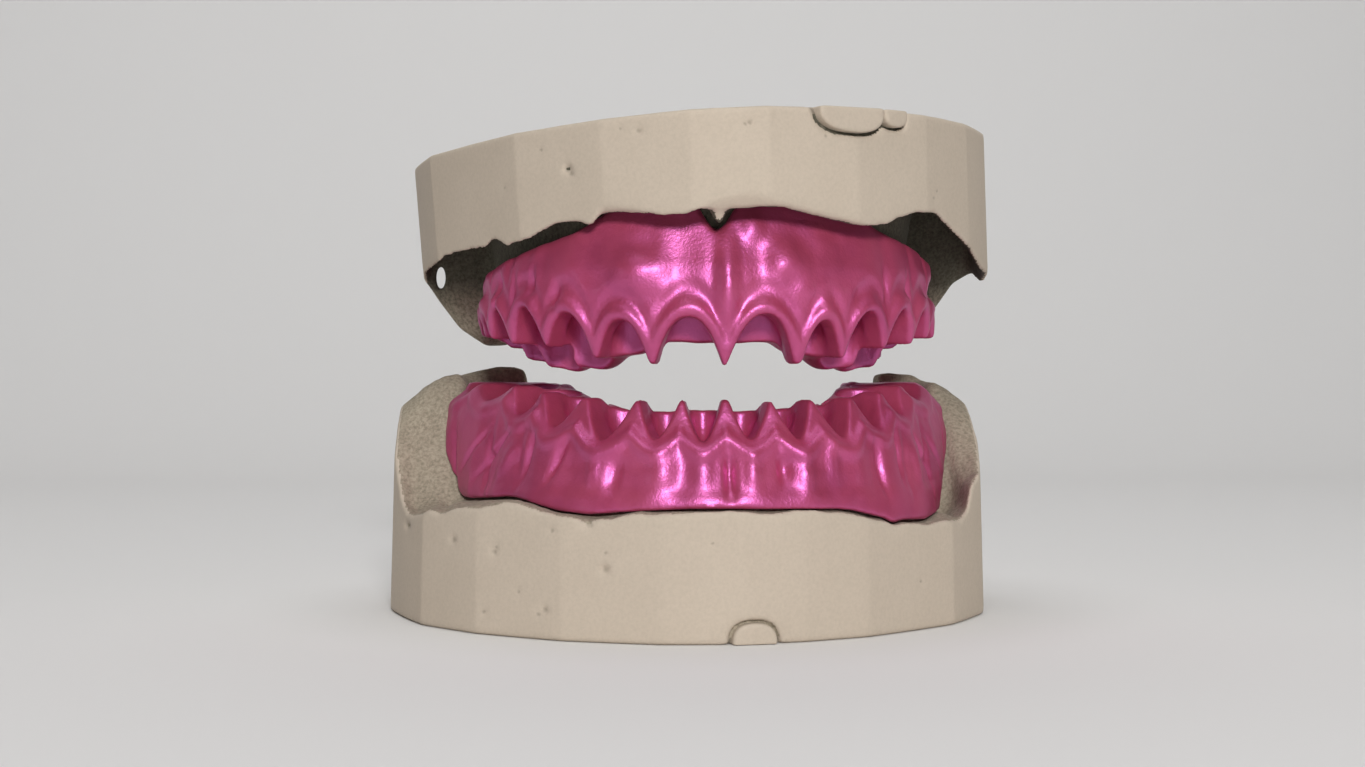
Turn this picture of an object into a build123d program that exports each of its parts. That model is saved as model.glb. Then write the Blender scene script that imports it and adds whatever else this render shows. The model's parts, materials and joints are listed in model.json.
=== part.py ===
from build123d import *
import os
from math import cos, hypot, pi, radians, sin, tan

# Upper and lower edentulous dental casts, each with a gum-coloured denture base that has open tooth sockets.
# Millimetres. Origin: on the lower cast's flat base, on the midline of the ridges. +Z up, +Y towards the back.

# ---- Driving dimensions: casts ----
LOWER_HALF_WIDTH = 41.5      # base outline of the lower cast, at its widest
LOWER_FRONT_REACH = 37.8     # from the widest line forward to the front of the lower cast
LOWER_ROUNDNESS = 1.8        # superellipse power of the rounded front
UPPER_HALF_WIDTH = 41.1
UPPER_FRONT_REACH = 46.7
UPPER_WIDEST_Y = 8.0
UPPER_ROUNDNESS = 1.65       # below 2: the front is trimmed to a blunt point
BACK_Y = 27.0                # flat back of both casts
HEEL_Y = 16.0                # where the heel chamfer starts
HEEL_HALF_WIDTH = 41.6
LOWER_SHIFT_X = -1.9         # the hand-trimmed outlines are not centred on the ridges
UPPER_SHIFT_X = 0.2          # at the top; it grows downward with the roll
BACK_HALF_WIDTH = 30.0
TRIM_DRAFT = 0.025           # inward lean of the trimmed walls, mm per mm of height
UPPER_TOP_Z = 64.8           # middle of the upper cast's flat top
UPPER_ROLL_DEG = 3.2         # roll of that top and its walls about the Y axis

# ---- Driving dimensions: lower ridge ----
LAND_Z = 15.4
TONGUE_FLOOR_Z = 12.5
LOWER_CREST_Z = 20.5
MOLAR_CREST_RISE = 2.5
PAD_PEAK_Z = 34.0            # retromolar pads
PAD_OUTER_Z = 27.8

# ---- Driving dimensions: upper ridge ----
LIP_FRONT_Z = 52.9           # lower edge of the upper cast's wall, at the front
LIP_BACK_Z = 47.8
SULCUS_Z = 54.5
UPPER_CREST_Z = 44.5
TUBEROSITY_Z = 37.4
VAULT_Z = 50.5

# ---- Driving dimensions: denture bases ----
SEAT_GAP = 0.45              # between a base and the cast it sits on
PLATE_THICKNESS = 2.6
BASE_BACK_Y = 16.5
LOWER_RIM_Z = 29.0
LOWER_BACK_RIM_Z = 31.8
LOWER_GUM_Z = 24.5           # lowest point of each gum scallop
LOWER_SOCKET_FLOOR_Z = 22.6
UPPER_RIM_Z = 34.4
UPPER_BACK_RIM_Z = 33.2
UPPER_GUM_Z = 39.6
UPPER_SOCKET_ROOF_Z = 41.4
LOWER_NECKS = [5.3, 5.6, 7.4, 8.0, 7.6, 10.4, 10.0]      # tooth widths from the midline back
UPPER_NECKS = [8.7, 7.4, 7.9, 7.4, 7.5, 10.4, 9.8]
PAPILLA = 1.3                # gum left between two sockets
FRONT_SOCKET_DEPTH = 4.0     # lip to tongue
BACK_SOCKET_DEPTH = 7.0

# ---- Driving dimensions: stone beads ----
# Each bead: turn along the front wall, half width, half height, height of its centre.
LOWER_BEAD = (0.165, 2.8, 2.6, 0.0)
UPPER_BEAD_LARGE = (0.478, 5.4, 2.7, 65.3)
UPPER_BEAD_SMALL = (0.646, 2.5, 1.6, 65.5)
BEAD_PROUD = 0.65
BEAD_ROOT = 3.0              # how far a bead starts behind the wall, before the wall cuts it
BEAD_EDGE = 0.25

# ---- Working values ----
GRID_STEP = 3.0
GRID_LEFT = -48.0
GRID_FRONT = -45.0
GRID_COLUMNS = 33
GRID_ROWS = 27
SURFACE_TOLERANCE = 0.1
REACH = 60.0                 # longer than any cut
LOWER_BLOCK_TOP_Z = 40.0     # untrimmed blocks, before the ridge surfaces cut them
UPPER_BLOCK_BOTTOM_Z = 30.0
UPPER_BLOCK_TOP_Z = 70.0
UPPER_OUTLINE_Z = 65.0       # height at which the upper outline has its stated size


class Arch:
    """A dental arch seen from above: a superellipse in front of centre_y, straight arms behind it."""

    def __init__(self, half_width, reach, centre_y, power):
        self.half_width = half_width
        self.reach = reach
        self.centre_y = centre_y
        self.power = power

    def grown(self, side, front):
        return Arch(self.half_width + side, self.reach + front, self.centre_y, self.power)

    def offset(self, x, y):
        """Distance outward from the arch, negative inside it."""
        ahead = max(self.centre_y - y, 0.0)
        if ahead == 0.0:
            return abs(x) - self.half_width
        ratio = ((abs(x) / self.half_width) ** self.power + (ahead / self.reach) ** self.power) ** (1 / self.power)
        radius = hypot(x, ahead)
        return radius - radius / ratio

    def at(self, turn):
        """Point of the front curve: turn 0 is the midline, pi / 2 is the widest point."""
        x = self.half_width * sin(turn) ** (2 / self.power)
        y = self.centre_y - self.reach * cos(turn) ** (2 / self.power)
        return x, y

    def walk(self, distance):
        """Point and outward direction at a distance from the midline, along the right-hand arm."""
        steps = 400
        previous = self.at(0.0)
        travelled = 0.0
        for number in range(1, steps + 1):
            point = self.at(pi / 2 * number / steps)
            span = hypot(point[0] - previous[0], point[1] - previous[1])
            if travelled + span >= distance:
                along = ((point[0] - previous[0]) / span, (point[1] - previous[1]) / span)
                return point, (along[1], -along[0])
            travelled += span
            previous = point
        return (self.half_width, self.centre_y + distance - travelled), (1.0, 0.0)


LOWER_GUM_LINE = Arch(31.0, 45.3, 14.0, 2.1)
LOWER_CREST_LINE = LOWER_GUM_LINE.grown(-3.0, -3.0)
UPPER_GUM_LINE = Arch(32.5, 45.5, 12.0, 2.2)
UPPER_CREST_LINE = UPPER_GUM_LINE.grown(-4.0, -4.0)
LOWER_TRIM = Arch(LOWER_HALF_WIDTH, LOWER_FRONT_REACH, 0.0, LOWER_ROUNDNESS)
UPPER_TRIM = Arch(UPPER_HALF_WIDTH, UPPER_FRONT_REACH, UPPER_WIDEST_Y, UPPER_ROUNDNESS)


def ease(value, start, end):
    """0 before start, 1 after end, smooth between."""
    part = min(max((value - start) / (end - start), 0.0), 1.0)
    return part * part * (3 - 2 * part)


def mix(low, high, part):
    return low + (high - low) * part


def lower_cast_height(x, y):
    """Top of the lower cast: land, ridge, retromolar pads and tongue space."""
    out = LOWER_CREST_LINE.offset(x, y)
    pad = mix(PAD_PEAK_Z, PAD_OUTER_Z, ease(abs(x), 29, 42))
    land = mix(LAND_Z, pad, ease(y, -4, 13))
    crest = LOWER_CREST_Z + MOLAR_CREST_RISE * ease(y, -12, 10)
    crest = mix(crest, PAD_PEAK_Z, ease(y, 14.5, 22))
    if out > 0:
        return mix(crest, land, ease(out, 0, 7.5))
    return mix(crest, TONGUE_FLOOR_Z, ease(-out, 0, 9))


def lower_base_height(x, y):
    """Biting side of the lower denture base, before the sockets."""
    out = LOWER_GUM_LINE.offset(x, y)
    rim = mix(LOWER_RIM_Z, LOWER_BACK_RIM_Z, ease(y, -22, 2))
    shelf = 3.5 * ease(out, 0.5, 5) * ease(y, -15, 5)
    return rim - shelf


def upper_cast_height(x, y):
    """Underside of the upper cast: wall lip, sulcus, ridge, palate vault and tuberosities."""
    out = UPPER_CREST_LINE.offset(x, y)
    lip = mix(LIP_FRONT_Z, LIP_BACK_Z, ease(y, -25, 8))
    crest = mix(UPPER_CREST_Z, TUBEROSITY_Z, ease(y, 10, 21))
    tuberosity = mix(TUBEROSITY_Z, LIP_BACK_Z, ease(abs(x), 31, 41))
    if out < 0:
        return mix(crest, VAULT_Z, ease(-out, 0, 13))
    sulcus = (SULCUS_Z - lip) * (1 - ease(out, 5, 12))
    outside = mix(lip + sulcus, tuberosity, ease(y, 5, 17))
    return mix(crest, outside, ease(out, -0.5, 5.5))


def upper_base_height(x, y):
    """Biting side of the upper denture base and the underside of its palate plate."""
    out = UPPER_GUM_LINE.offset(x, y)
    rim = mix(UPPER_RIM_Z, UPPER_BACK_RIM_Z, ease(y, -22, 2))
    inner_rim = mix(rim, rim + 1.8, ease(-out, 2, 6))
    plate = VAULT_Z - SEAT_GAP - PLATE_THICKNESS
    return mix(inner_rim, plate, ease(-out, 6, 18))


def seat(height, side):
    """A cast's surface grown by the seat gap, upward for side 1 and downward for side -1."""
    turns = [pi / 4 * number for number in range(8)]
    nearby = [(0.0, 0.0)] + [(SEAT_GAP * cos(turn), SEAT_GAP * sin(turn)) for turn in turns]

    def grown(x, y):
        return side * max(side * height(x + dx, y + dy) for dx, dy in nearby) + side * SEAT_GAP

    return grown


def height_face(height):
    """One smooth face through a grid of heights that covers both casts."""
    columns = [GRID_LEFT + GRID_STEP * number for number in range(GRID_COLUMNS)]
    rows = [GRID_FRONT + GRID_STEP * number for number in range(GRID_ROWS)]
    grid = [[Vector(x, y, height(x, y)) for y in rows] for x in columns]
    return Face.make_surface_from_array_of_points(grid, tol=SURFACE_TOLERANCE, min_deg=3, max_deg=3)


def above(face):
    return Solid.extrude(face, Vector(0, 0, REACH))


def below(face):
    return Solid.extrude(face, Vector(0, 0, -REACH))


def trim_outline(trim, shift, grow, z):
    """Plan of a trimmed cast: curved front, straight sides, chamfered heels and a flat back."""
    shape = trim.grown(grow, grow)
    right = [shape.at(pi / 2 * number / 6) for number in range(7)]
    front = [(-x, y) for x, y in reversed(right[1:])] + right
    heels = [(HEEL_HALF_WIDTH + grow, HEEL_Y), (BACK_HALF_WIDTH + grow, BACK_Y + grow)]
    heels += [(-x, y) for x, y in reversed(heels)]
    edges = [Spline([Vector(x, y) for x, y in front])]
    edges += [Polyline([front[-1]] + heels + [front[0]])]
    return Pos(shift, 0, z) * make_face(edges)


def arch_outline(arch, z):
    """Closed plan of an arch with straight arms that run past the back of the casts."""
    right = [arch.at(pi / 2 * number / 8) for number in range(9)]
    front = [(-x, y) for x, y in reversed(right[1:])] + right
    back = arch.centre_y + REACH / 2
    arms = [front[-1], (arch.half_width, back), (-arch.half_width, back), front[0]]
    edges = [Spline([Vector(x, y) for x, y in front], tangents=[(0, -1), (0, 1)]), Polyline(arms)]
    return Pos(0, 0, z) * make_face(edges)


def drafted(make_outline, low, high, low_z, high_z):
    """Solid with ruled walls between two outlines of the same kind."""
    return loft([make_outline(*low, low_z), make_outline(*high, high_z)], ruled=True)


def mirrored_places(arch, widths):
    """Middle, outward direction and width of every tooth, on both sides."""
    places = []
    start = 0.0
    for number, width in enumerate(widths):
        point, outward = arch.walk(start + width / 2)
        for side in (1, -1):
            places.append(((side * point[0], point[1]), (side * outward[0], outward[1]), width, number))
        start += width
    return places


def socket(place, rim_z, gum_z, floor_z):
    """Pit for one tooth neck, with the gum scallop cut through its outer wall."""
    (x, y), (outward_x, outward_y), width, number = place
    depth = mix(FRONT_SOCKET_DEPTH, BACK_SOCKET_DEPTH, ease(number, 1, 5))
    centre_x = x - outward_x * (depth / 2 + 0.6)
    centre_y = y - outward_y * (depth / 2 + 0.6)
    half = (width - PAPILLA) / 2
    along = (-outward_y, outward_x, 0)
    mouth_z = mix(rim_z, 2 * rim_z - floor_z, 0.5)
    mouth = Plane((centre_x, centre_y, mouth_z), x_dir=along, z_dir=(0, 0, 1))
    floor = Plane((centre_x, centre_y, floor_z), x_dir=along, z_dir=(0, 0, 1))
    pit = loft([mouth * Ellipse(half, depth / 2 + 0.3), floor * Ellipse(half * 0.85, depth * 0.45)], ruled=True)
    wall = Plane((centre_x, centre_y, rim_z), x_dir=along, z_dir=(outward_x, outward_y, 0))
    scallop = extrude(wall * Ellipse(half, abs(gum_z - rim_z)), amount=depth / 2 + 6)
    return pit, scallop


def lower_cast(face):
    low = (LOWER_TRIM, LOWER_SHIFT_X, 0.0)
    high = (LOWER_TRIM, LOWER_SHIFT_X, -LOWER_BLOCK_TOP_Z * TRIM_DRAFT)
    block = drafted(trim_outline, low, high, 0, LOWER_BLOCK_TOP_Z)
    return block - above(face)


def lower_denture_base(seat_face, base_face):
    body = drafted(arch_outline, (LOWER_GUM_LINE.grown(6.2, 6.2),), (LOWER_GUM_LINE.grown(2.0, -0.8),), 12, 34)
    tongue = drafted(arch_outline, (LOWER_GUM_LINE.grown(-11.0, -9.0),), (LOWER_GUM_LINE.grown(-9.8, -6.0),), 10, 36)
    back = Pos(0, BASE_BACK_Y + REACH / 2, LAND_Z) * Box(2 * REACH, REACH, 2 * REACH)
    base = body - tongue - back - below(seat_face) - above(base_face)
    for place in mirrored_places(LOWER_GUM_LINE, LOWER_NECKS):
        rise = (LOWER_BACK_RIM_Z - LOWER_RIM_Z) * ease(place[0][1], -22, 2)
        for tool in socket(place, LOWER_RIM_Z + rise, LOWER_GUM_Z + rise, LOWER_SOCKET_FLOOR_Z + rise):
            base -= tool
    return base


def upper_top():
    """Everything above the upper cast's rolled top plane."""
    return Pos(0, 0, UPPER_TOP_Z) * Rot(0, -UPPER_ROLL_DEG, 0) * Pos(0, 0, REACH / 2) * Box(3 * REACH, 3 * REACH, REACH)


def upper_shift(z):
    """Sideways place of the rolled upper outline at a height."""
    return UPPER_SHIFT_X + (UPPER_TOP_Z - z) * tan(radians(UPPER_ROLL_DEG))


def upper_section(z):
    return UPPER_TRIM, upper_shift(z), (z - UPPER_OUTLINE_Z) * TRIM_DRAFT


def upper_cast(face):
    low = upper_section(UPPER_BLOCK_BOTTOM_Z)
    high = upper_section(UPPER_BLOCK_TOP_Z)
    block = drafted(trim_outline, low, high, UPPER_BLOCK_BOTTOM_Z, UPPER_BLOCK_TOP_Z)
    return block - below(face) - upper_top()


def upper_denture_base(seat_face, base_face):
    body = drafted(arch_outline, (UPPER_GUM_LINE.grown(0.0, 0.0),), (UPPER_GUM_LINE.grown(0.8, 0.6),), 30, 60)
    back = Pos(0, BASE_BACK_Y + REACH / 2, UPPER_GUM_Z) * Box(2 * REACH, REACH, 2 * REACH)
    base = body - back - above(seat_face) - below(base_face)
    for place in mirrored_places(UPPER_GUM_LINE, UPPER_NECKS):
        drop = (UPPER_BACK_RIM_Z - UPPER_RIM_Z) * ease(place[0][1], -22, 2)
        for tool in socket(place, UPPER_RIM_Z + drop, UPPER_GUM_Z + drop, UPPER_SOCKET_ROOF_Z + drop):
            base -= tool
    return base


def bead(trim, shift, turn, half_width, half_height, z):
    """Flattened drop of stone on a trimmed wall; its back is cut to the wall afterwards."""
    x, y = trim.at(turn)
    ahead_x, ahead_y = trim.at(turn + 0.01)
    span = hypot(ahead_x - x, ahead_y - y)
    along = ((ahead_x - x) / span, (ahead_y - y) / span, 0)
    outward = (along[1], -along[0], 0)
    root = (x + shift - outward[0] * BEAD_ROOT, y - outward[1] * BEAD_ROOT, z)
    foot = Plane(root, x_dir=along, z_dir=outward)
    drop = extrude(foot * Ellipse(half_width, half_height), amount=BEAD_ROOT + BEAD_PROUD)
    rim = drop.edges().group_by(Axis(root, outward))[-1]
    return fillet(rim, BEAD_EDGE)


lower_seat = height_face(seat(lower_cast_height, 1))
upper_seat = height_face(seat(upper_cast_height, -1))

parts = {}
parts["lower_cast"] = lower_cast(height_face(lower_cast_height))
parts["lower_denture_base"] = lower_denture_base(lower_seat, height_face(lower_base_height))
parts["upper_cast"] = upper_cast(height_face(upper_cast_height))
parts["upper_denture_base"] = upper_denture_base(upper_seat, height_face(upper_base_height))

under = Pos(0, 0, -REACH / 2) * Box(3 * REACH, 3 * REACH, REACH)
parts["lower_cast_stone_bead"] = bead(LOWER_TRIM, LOWER_SHIFT_X, *LOWER_BEAD) - under - parts["lower_cast"]
large = bead(UPPER_TRIM, UPPER_SHIFT_X, *UPPER_BEAD_LARGE)
small = bead(UPPER_TRIM, UPPER_SHIFT_X, *UPPER_BEAD_SMALL)
parts["upper_cast_stone_bead_large"] = large - upper_top() - parts["upper_cast"]
parts["upper_cast_stone_bead_small"] = small - upper_top() - parts["upper_cast"] - large

os.makedirs("parts", exist_ok=True)
for name, shape in parts.items():
    export_step(shape, f"parts/{name}.step")
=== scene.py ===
import json
from math import cos, pi, radians, sin

import bpy
import numpy as np
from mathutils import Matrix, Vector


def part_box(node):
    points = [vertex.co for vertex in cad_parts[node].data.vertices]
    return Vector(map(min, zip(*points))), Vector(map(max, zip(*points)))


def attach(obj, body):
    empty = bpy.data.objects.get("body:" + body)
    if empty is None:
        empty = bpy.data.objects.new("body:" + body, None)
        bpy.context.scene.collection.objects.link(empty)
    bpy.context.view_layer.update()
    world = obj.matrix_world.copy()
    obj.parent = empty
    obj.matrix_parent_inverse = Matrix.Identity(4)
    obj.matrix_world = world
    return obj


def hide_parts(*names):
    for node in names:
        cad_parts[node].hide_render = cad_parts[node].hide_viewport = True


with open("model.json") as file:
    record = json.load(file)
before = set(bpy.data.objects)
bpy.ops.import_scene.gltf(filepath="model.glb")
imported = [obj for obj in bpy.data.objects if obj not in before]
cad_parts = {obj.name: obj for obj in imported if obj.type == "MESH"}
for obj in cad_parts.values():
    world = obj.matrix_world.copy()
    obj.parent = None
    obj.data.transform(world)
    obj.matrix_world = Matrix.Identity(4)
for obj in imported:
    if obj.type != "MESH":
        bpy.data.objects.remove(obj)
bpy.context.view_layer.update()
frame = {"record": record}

import openvdb as vdb
from mathutils import Vector

# Two stone casts of a toothless mouth and their glossy denture bases. Shapes are worked out in millimetres
# as distance fields (negative inside), meshed, and brought to metres at the end, in the CAD model's frame.
# Edges seen in the photo are lists of points picked along them and converted to millimetres.
MM = 0.001

# ---- Places that come from the frame ----
LOWER_FRONT_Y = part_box("lower_cast")[0][1] / MM
UPPER_MOUNT = frame["record"]["mounts"][1]
UPPER_TOP_Z = UPPER_MOUNT["pos_m"][2] / MM
TOP_NORMAL = UPPER_MOUNT["axis"]
ROLL_SLOPE = -TOP_NORMAL[0] / TOP_NORMAL[2]

# ---- Trimmed outlines ----
BACK_Y = 27.0
HEEL = (41.6, 16.0)
BACK_HALF_WIDTH = 30.0
TRIM_DRAFT = 0.025
LOWER_SHIFT_X = -1.9            # the trimmed outlines are not centred on the ridges
UPPER_SHIFT_X = 0.2             # at the top; the roll carries it sideways further down
# turns of the flattish cuts, in degrees from the midline
LOWER_FACETS = (-62, -45.8, -28, -10, 8, 19.2, 32, 55.5, 74)
UPPER_FACETS = (-69.8, -43.5, -26.5, -9.8, 9.8, 28.2, 45, 60.2, 76)

# ---- Denture bases ----
LOWER_TEETH = (5.3, 5.6, 7.4, 8.0, 7.6, 10.4, 10.0)    # widths from the midline back
UPPER_TEETH = (8.7, 7.4, 7.9, 7.4, 7.5, 10.4, 9.8)
LOWER_SCALLOP = 1.5             # power of the gum scallops: 1 is a plain V, higher is a rounder arch
UPPER_SCALLOP = 2.2
SEAT_GAP = 0.3                  # a guess: the photo shows only that the two parts meet
BASE_BACK_Y = 16.3

# ---- Stone beads on the trimmed walls ----
# each is across, forward, height, turn to face outward, half width, half height
BEAD_ROOT = 1.2                 # how far the middle of a bead is behind the wall's face
BEAD_PROUD = 0.45               # a guess: not measurable in the photo
LOWER_BEAD = (3.7, LOWER_FRONT_Y + 0.72, 0.1, 0.18, 2.8, 2.5)
UPPER_BEADS = {"upper_cast_stone_bead_large": (16.2, -32.3, 65.3, 0.59, 5.3, 2.7),
               "upper_cast_stone_bead_small": (22.4, -27.4, 65.5, 0.74, 2.3, 1.6)}
# air-bubble pits: across, height, radius
LOWER_PITS = ((-33.4, 11.6, 0.4), (-40.1, 12.6, 0.5), (-16.3, 14.4, 0.45), (-14.3, 9.0, 0.5),
              (-28.0, 10.5, 0.35), (-27.7, 11.1, 0.28), (-21.6, 3.7, 0.4), (-22.4, 3.2, 0.3),
              (-29.3, 2.9, 0.28), (-14.2, 11.0, 0.28), (-20.8, 13.5, 0.28), (-1.4, 12.3, 0.25),
              (26.2, 6.3, 0.25), (-24.9, 5.8, 0.25))
UPPER_PITS = ((-18.8, 58.2, 0.5), (-18.4, 57.6, 0.35), (-10.2, 62.2, 0.35), (3.0, 63.0, 0.4),
              (2.4, 62.7, 0.28), (14.0, 62.4, 0.35), (12.7, 61.9, 0.28), (28.6, 55.7, 0.25),
              (-26.9, 56.6, 0.25), (-22.2, 60.8, 0.25), (-12.5, 62.6, 0.25), (29.2, 56.7, 0.22))


# ---------------------------------------------------------------- fields
def ease(value, start, end):
    """0 before start, 1 after end, smooth between."""
    part = np.clip((value - start) / (end - start), 0.0, 1.0)
    return part * part * (3 - 2 * part)


def mix(low, high, part):
    return low + (high - low) * part


def bump(value, middle, half_width):
    """1 at middle, falling smoothly to 0 at half_width on each side."""
    part = np.clip(np.abs(value - middle) / half_width, 0.0, 1.0)
    return (1 - part * part) ** 2


def curve(value, points, softness=0.0):
    """Smooth line through (place, value) points."""
    places = np.array([p[0] for p in points], float)
    heights = np.array([p[1] for p in points], float)
    fine = np.linspace(places[0], places[-1], 400)
    line = np.interp(fine, places, heights)
    width = max(3, int(400 * (softness or 0.06)))
    kernel = np.hanning(width + 2)[1:-1]
    padded = np.concatenate([np.full(width, line[0]), line, np.full(width, line[-1])])
    line = np.convolve(padded, kernel / kernel.sum(), "same")[width:-width]
    return np.interp(value, fine, line)


def both(a, b, soft=0.0):
    """Inside a and inside b, with a rounded edge."""
    high = np.maximum(a, b)
    if soft == 0.0:
        return high
    near = np.maximum(soft - np.abs(a - b), 0.0)
    return high + near * near / (4 * soft)


def either(a, b, soft=0.0):
    return -both(-a, -b, soft)


def cut(a, b, soft=0.0):
    """Inside a and outside b."""
    return both(a, -b, soft)


def noise(x, y, size, seed):
    """Smooth noise between -1 and 1 on a plane, with features of that size."""
    lattice = np.random.default_rng(seed).uniform(-1, 1, (64, 64))
    u = x / size + 200.5
    v = y / size + 200.5
    i = np.floor(u).astype(int)
    j = np.floor(v).astype(int)
    fu = ease(u - i, 0, 1)
    fv = ease(v - j, 0, 1)
    near = mix(lattice[i % 64, j % 64], lattice[(i + 1) % 64, j % 64], fu)
    far = mix(lattice[i % 64, (j + 1) % 64], lattice[(i + 1) % 64, (j + 1) % 64], fu)
    return mix(near, far, fv)


class Grid:
    """A box of sample points, in millimetres."""

    def __init__(self, low, high, voxel):
        self.voxel = voxel
        self.low = np.array(low, float) - 2 * voxel
        counts = np.ceil((np.array(high, float) + 2 * voxel - self.low) / voxel).astype(int) + 1
        axes = [self.low[a] + voxel * np.arange(counts[a]) for a in range(3)]
        self.x2, self.y2 = np.meshgrid(axes[0], axes[1], indexing="ij")
        self.x = self.x2[:, :, None].astype(np.float32)
        self.y = self.y2[:, :, None].astype(np.float32)
        self.z = axes[2][None, None, :].astype(np.float32)


def blurred(field, reach):
    """The field clipped near the surface and averaged a little, which smooths steps smaller than a voxel."""
    field = np.clip(field, -reach, reach).astype(np.float32)
    for axis in range(3):
        before = np.roll(field, 1, axis)
        after = np.roll(field, -1, axis)
        field = 0.25 * before + 0.5 * field + 0.25 * after
    return field


def slope(height, voxel):
    """How much longer a step along the surface is than along the plan, for a height map."""
    dx, dy = np.gradient(height, voxel)
    return np.sqrt(1 + dx * dx + dy * dy)


def meshed(name, field, grid, body, node, materials, choose=None, adaptivity=0.0, rounds=1):
    """Turns a field into a smooth mesh that stands for a CAD node; choose picks each face's material."""
    for _ in range(rounds):
        field = blurred(field, 3 * grid.voxel)
    volume = vdb.FloatGrid(3 * grid.voxel)
    volume.copyFromArray(np.ascontiguousarray(field))
    points, triangles, quads = volume.convertToPolygons(0.0, adaptivity)
    places = (points * grid.voxel + grid.low) * MM
    faces = [tuple(int(v) for v in face) for face in quads]
    faces += [tuple(int(v) for v in face) for face in triangles]
    mesh = bpy.data.meshes.new(name)
    mesh.from_pydata(places.tolist(), [], faces)
    mesh.validate()
    mesh.update()
    obj = bpy.data.objects.new(name, mesh)
    bpy.context.collection.objects.link(obj)
    middle = np.argmax(places[:, 2])
    for polygon in mesh.polygons:
        polygon.use_smooth = True
    if mesh.vertices[int(middle)].normal.z < 0:
        mesh.flip_normals()
    for material in materials:
        mesh.materials.append(material)
    if choose is not None:
        centres = np.zeros(3 * len(mesh.polygons))
        mesh.polygons.foreach_get("center", centres)
        mesh.polygons.foreach_set("material_index", choose(*(centres.reshape(-1, 3).T / MM)).astype(np.int32))
    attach(obj, body)
    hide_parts(node)
    print(name, len(places), "points", len(quads), "quads", len(triangles), "triangles")
    return obj


# ---------------------------------------------------------------- plan shapes
class Arch:
    """A dental arch from above: a superellipse in front of centre_y, straight arms behind it."""

    def __init__(self, half_width, reach, centre_y, power):
        self.half_width, self.reach, self.centre_y, self.power = half_width, reach, centre_y, power

    def at(self, turn):
        """Point of the front curve: turn 0 is the midline, pi / 2 the widest point on the right."""
        across = np.sign(sin(turn)) * abs(sin(turn)) ** (2 / self.power) * self.half_width
        return across, self.centre_y - self.reach * max(cos(turn), 0.0) ** (2 / self.power)

    def coordinates(self, x, y):
        """Distance along the arch from the midline (right is positive), and distance outward from it."""
        turns = np.linspace(-pi / 2, pi / 2, 361)
        line = [self.at(turn) for turn in turns]
        line = [(line[0][0], 45.0)] + line + [(line[-1][0], 45.0)]
        line = np.array(line)
        along = np.concatenate([[0], np.cumsum(np.hypot(*np.diff(line, axis=0).T))])
        along -= along[len(line) // 2]
        best = np.full(x.shape, 1e9)
        place = np.zeros(x.shape)
        side = np.zeros(x.shape)
        for number in range(len(line) - 1):
            (ax, ay), (bx, by) = line[number], line[number + 1]
            ux, uy = bx - ax, by - ay
            span = (ux * ux + uy * uy) ** 0.5 + 1e-9
            part = np.clip(((x - ax) * ux + (y - ay) * uy) / (span * span), 0, 1)
            ox, oy = x - ax - part * ux, y - ay - part * uy
            gap = ox * ox + oy * oy
            closer = gap < best
            best = np.where(closer, gap, best)
            place = np.where(closer, along[number] + part * span, place)
            side = np.where(closer, np.sign(ox * uy - oy * ux), side)
        return place, np.sqrt(best) * side


def polygon_distance(points, x, y):
    """Signed distance to a closed outline, negative inside."""
    best = np.full(x.shape, 1e9)
    inside = np.zeros(x.shape, bool)
    for (ax, ay), (bx, by) in zip(points, points[1:] + points[:1]):
        ux, uy = bx - ax, by - ay
        part = np.clip(((x - ax) * ux + (y - ay) * uy) / (ux * ux + uy * uy), 0, 1)
        best = np.minimum(best, np.hypot(x - ax - part * ux, y - ay - part * uy))
        crosses = (ay > y) != (by > y)
        edge = ax + (y - ay) * ux / (uy if abs(uy) > 1e-9 else 1e-9)
        inside ^= crosses & (x < edge)
    return np.where(inside, -best, best)


def trim_outline(arch, facets, flatness=0.7):
    """Outline of a trimmed cast: the front is ground in a few flattish cuts that meet at faint corners."""
    stops = [-90] + list(facets) + [90]
    front = []
    for start, end in zip(stops, stops[1:]):
        first, last = arch.at(radians(start)), arch.at(radians(end))
        for number in range(8):
            part = number / 8
            bent = arch.at(radians(mix(start, end, part)))
            flat = (mix(first[0], last[0], part), mix(first[1], last[1], part))
            front.append((mix(bent[0], flat[0], flatness), mix(bent[1], flat[1], flatness)))
    front.append(arch.at(pi / 2))
    heels = [HEEL, (BACK_HALF_WIDTH, BACK_Y), (-BACK_HALF_WIDTH, BACK_Y), (-HEEL[0], HEEL[1])]
    return front + heels


LOWER_TRIM = Arch(41.5, 37.8, 0.0, 1.8)
UPPER_TRIM = Arch(41.1, 46.7, 8.0, 1.65)
LOWER_GUM = Arch(31.0, 45.3, 14.0, 2.1)
UPPER_GUM = Arch(32.5, 45.5, 12.0, 2.2)


# ---------------------------------------------------------------- lower cast
LOWER_LAND = [(-44, 19.0), (-42.3, 17.1), (-40.5, 14.5), (-39.7, 14.0), (-37.4, 14.6), (-36.6, 15.2),
              (-34.9, 15.0), (-33.2, 15.8), (-31.6, 15.9), (-26.6, 16.7), (-25.1, 16.6), (-20.4, 15.4),
              (-16.5, 15.1), (-14.4, 15.3), (-10.2, 15.7), (-4.2, 16.0), (1.9, 16.0), (8.7, 15.9),
              (14.5, 15.7), (16.2, 15.5), (20.7, 14.3), (22.2, 13.5), (23.7, 13.8), (27.5, 13.5),
              (30.9, 14.1), (32.7, 13.4), (34.2, 14.7), (35.3, 18.0), (38, 20.0)]
PAD_LEFT = [(20, 31.5), (24.5, 32.5), (25.5, 33.6), (27, 34.05), (29, 34.1), (32.6, 33.4), (36.6, 32.4),
            (39.2, 31.0), (43.1, 27.6), (45, 26.0)]
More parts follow.
